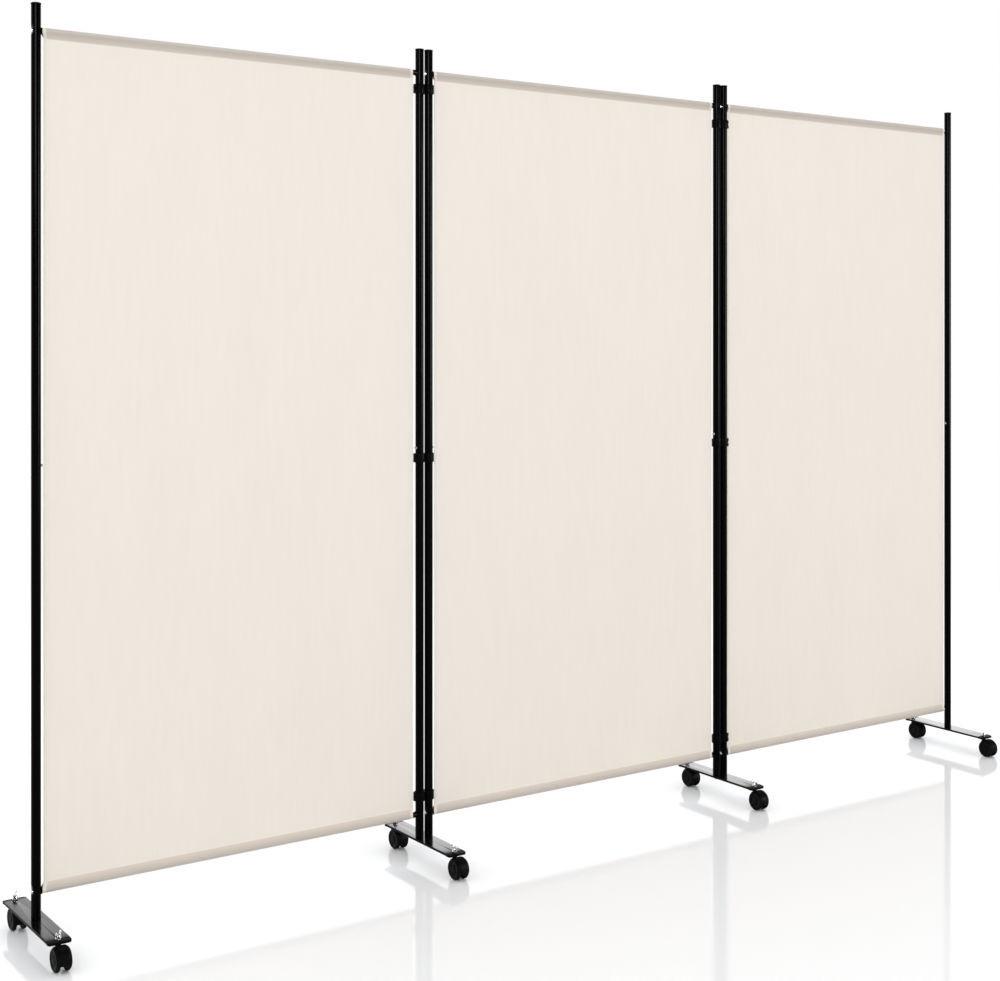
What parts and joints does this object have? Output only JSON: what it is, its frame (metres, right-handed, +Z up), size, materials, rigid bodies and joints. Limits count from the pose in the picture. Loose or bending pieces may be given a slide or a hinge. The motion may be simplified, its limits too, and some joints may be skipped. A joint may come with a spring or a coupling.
{
  "type": "folding privacy screen",
  "caption": "Folding ward privacy screen: cloth panels between round tube posts hinged by double rings, on flat foot plates with swivelling twin wheel casters.",
  "frame": {"origin": "on the floor, under the middle of the bounding box of the screen set out flat", "axes": "+X along the screen from the left end post to the right one, seen from the front; +Y from the front to the back; +Z up"},
  "size_m": [2.667, 0.3018, 1.8],
  "materials": {
    "black_tube": "gloss black powder coat",
    "black_plate": "high gloss black",
    "black_plastic": "satin black",
    "wheel_plastic": "satin charcoal",
    "bright_steel": "polished",
    "cream_cloth": "plain woven"
  },
  "bodies": {
    "left_panel": {"left_panel_left_post_lower": "black_tube", "left_panel_left_post_upper": "black_tube", "left_panel_right_post_lower": "black_tube", "left_panel_right_post_upper": "black_tube", "left_panel_top_crossbar": "black_tube", "left_panel_bottom_crossbar": "black_tube", "left_panel_cloth": "cream_cloth", "left_end_foot_plate": "black_plate", "left_end_front_caster_stem": "bright_steel", "left_end_back_caster_stem": "bright_steel"},
    "middle_panel": {"middle_panel_left_post_lower": "black_tube", "middle_panel_left_post_upper": "black_tube", "middle_panel_right_post_lower": "black_tube", "middle_panel_right_post_upper": "black_tube", "middle_panel_top_crossbar": "black_tube", "middle_panel_bottom_crossbar": "black_tube", "middle_panel_cloth": "cream_cloth"},
    "right_panel": {"right_panel_left_post_lower": "black_tube", "right_panel_left_post_upper": "black_tube", "right_panel_right_post_lower": "black_tube", "right_panel_right_post_upper": "black_tube", "right_panel_top_crossbar": "black_tube", "right_panel_bottom_crossbar": "black_tube", "right_panel_cloth": "cream_cloth", "right_end_foot_plate": "black_plate", "right_end_front_caster_stem": "bright_steel", "right_end_back_caster_stem": "bright_steel"},
    "left_hinge": {"left_hinge_top_ring": "black_plastic", "left_hinge_middle_ring": "black_plastic", "left_hinge_bottom_ring": "black_plastic", "left_hinge_foot_plate": "black_plate", "left_hinge_front_caster_stem": "bright_steel", "left_hinge_back_caster_stem": "bright_steel"},
    "right_hinge": {"right_hinge_top_ring": "black_plastic", "right_hinge_middle_ring": "black_plastic", "right_hinge_bottom_ring": "black_plastic", "right_hinge_foot_plate": "black_plate", "right_hinge_front_caster_stem": "bright_steel", "right_hinge_back_caster_stem": "bright_steel"},
    "left_end_front_caster_housing": {"left_end_front_caster_housing": "black_plastic"},
    "left_end_front_caster_wheels": {"left_end_front_caster_wheels": "wheel_plastic"},
    "left_end_back_caster_housing": {"left_end_back_caster_housing": "black_plastic"},
    "left_end_back_caster_wheels": {"left_end_back_caster_wheels": "wheel_plastic"},
    "left_hinge_front_caster_housing": {"left_hinge_front_caster_housing": "black_plastic"},
    "left_hinge_front_caster_wheels": {"left_hinge_front_caster_wheels": "wheel_plastic"},
    "left_hinge_back_caster_housing": {"left_hinge_back_caster_housing": "black_plastic"},
    "left_hinge_back_caster_wheels": {"left_hinge_back_caster_wheels": "wheel_plastic"},
    "right_hinge_front_caster_housing": {"right_hinge_front_caster_housing": "black_plastic"},
    "right_hinge_front_caster_wheels": {"right_hinge_front_caster_wheels": "wheel_plastic"},
    "right_hinge_back_caster_housing": {"right_hinge_back_caster_housing": "black_plastic"},
    "right_hinge_back_caster_wheels": {"right_hinge_back_caster_wheels": "wheel_plastic"},
    "right_end_front_caster_housing": {"right_end_front_caster_housing": "black_plastic"},
    "right_end_front_caster_wheels": {"right_end_front_caster_wheels": "wheel_plastic"},
    "right_end_back_caster_housing": {"right_end_back_caster_housing": "black_plastic"},
    "right_end_back_caster_wheels": {"right_end_back_caster_wheels": "wheel_plastic"}
  },
  "joints": [
    {"name": "left_hinge_inner_fold", "type": "hinge", "parent": "middle_panel", "child": "left_hinge", "pos_m": [-0.429, 0.0139, 0.9], "axis": [0, 0, 1], "range_deg": [-75, 75]},
    {"name": "left_hinge_outer_fold", "type": "hinge", "parent": "left_hinge", "child": "left_panel", "pos_m": [-0.4525, 0.0139, 0.9], "axis": [0, 0, 1], "range_deg": [-75, 75]},
    {"name": "right_hinge_inner_fold", "type": "hinge", "parent": "middle_panel", "child": "right_hinge", "pos_m": [0.429, 0.0139, 0.9], "axis": [0, 0, 1], "range_deg": [-75, 75]},
    {"name": "right_hinge_outer_fold", "type": "hinge", "parent": "right_hinge", "child": "right_panel", "pos_m": [0.4525, 0.0139, 0.9], "axis": [0, 0, 1], "range_deg": [-75, 75]},
    {"name": "left_end_front_caster_swivel", "type": "hinge", "parent": "left_panel", "child": "left_end_front_caster_housing", "pos_m": [-1.3105, -0.1111, 0.045], "axis": [0, 0, 1], "continuous": true},
    {"name": "left_end_front_caster_roll", "type": "hinge", "parent": "left_end_front_caster_housing", "child": "left_end_front_caster_wheels", "pos_m": [-1.3105, -0.1261, 0.0225], "axis": [1, 0, 0], "continuous": true},
    {"name": "left_end_back_caster_swivel", "type": "hinge", "parent": "left_panel", "child": "left_end_back_caster_housing", "pos_m": [-1.3105, 0.1389, 0.045], "axis": [0, 0, 1], "continuous": true},
    {"name": "left_end_back_caster_roll", "type": "hinge", "parent": "left_end_back_caster_housing", "child": "left_end_back_caster_wheels", "pos_m": [-1.3105, 0.1239, 0.0225], "axis": [1, 0, 0], "continuous": true},
    {"name": "left_hinge_front_caster_swivel", "type": "hinge", "parent": "left_hinge", "child": "left_hinge_front_caster_housing", "pos_m": [-0.44075, -0.1111, 0.045], "axis": [0, 0, 1], "continuous": true},
    {"name": "left_hinge_front_caster_roll", "type": "hinge", "parent": "left_hinge_front_caster_housing", "child": "left_hinge_front_caster_wheels", "pos_m": [-0.44075, -0.1261, 0.0225], "axis": [1, 0, 0], "continuous": true},
    {"name": "left_hinge_back_caster_swivel", "type": "hinge", "parent": "left_hinge", "child": "left_hinge_back_caster_housing", "pos_m": [-0.44075, 0.1389, 0.045], "axis": [0, 0, 1], "continuous": true},
    {"name": "left_hinge_back_caster_roll", "type": "hinge", "parent": "left_hinge_back_caster_housing", "child": "left_hinge_back_caster_wheels", "pos_m": [-0.44075, 0.1239, 0.0225], "axis": [1, 0, 0], "continuous": true},
    {"name": "right_hinge_front_caster_swivel", "type": "hinge", "parent": "right_hinge", "child": "right_hinge_front_caster_housing", "pos_m": [0.44075, -0.1111, 0.045], "axis": [0, 0, 1], "continuous": true},
    {"name": "right_hinge_front_caster_roll", "type": "hinge", "parent": "right_hinge_front_caster_housing", "child": "right_hinge_front_caster_wheels", "pos_m": [0.44075, -0.1261, 0.0225], "axis": [1, 0, 0], "continuous": true},
    {"name": "right_hinge_back_caster_swivel", "type": "hinge", "parent": "right_hinge", "child": "right_hinge_back_caster_housing", "pos_m": [0.44075, 0.1389, 0.045], "axis": [0, 0, 1], "continuous": true},
    {"name": "right_hinge_back_caster_roll", "type": "hinge", "parent": "right_hinge_back_caster_housing", "child": "right_hinge_back_caster_wheels", "pos_m": [0.44075, 0.1239, 0.0225], "axis": [1, 0, 0], "continuous": true},
    {"name": "right_end_front_caster_swivel", "type": "hinge", "parent": "right_panel", "child": "right_end_front_caster_housing", "pos_m": [1.3105, -0.1111, 0.045], "axis": [0, 0, 1], "continuous": true},
    {"name": "right_end_front_caster_roll", "type": "hinge", "parent": "right_end_front_caster_housing", "child": "right_end_front_caster_wheels", "pos_m": [1.3105, -0.1261, 0.0225], "axis": [1, 0, 0], "continuous": true},
    {"name": "right_end_back_caster_swivel", "type": "hinge", "parent": "right_panel", "child": "right_end_back_caster_housing", "pos_m": [1.3105, 0.1389, 0.045], "axis": [0, 0, 1], "continuous": true},
    {"name": "right_end_back_caster_roll", "type": "hinge", "parent": "right_end_back_caster_housing", "child": "right_end_back_caster_wheels", "pos_m": [1.3105, 0.1239, 0.0225], "axis": [1, 0, 0], "continuous": true}
  ]
}
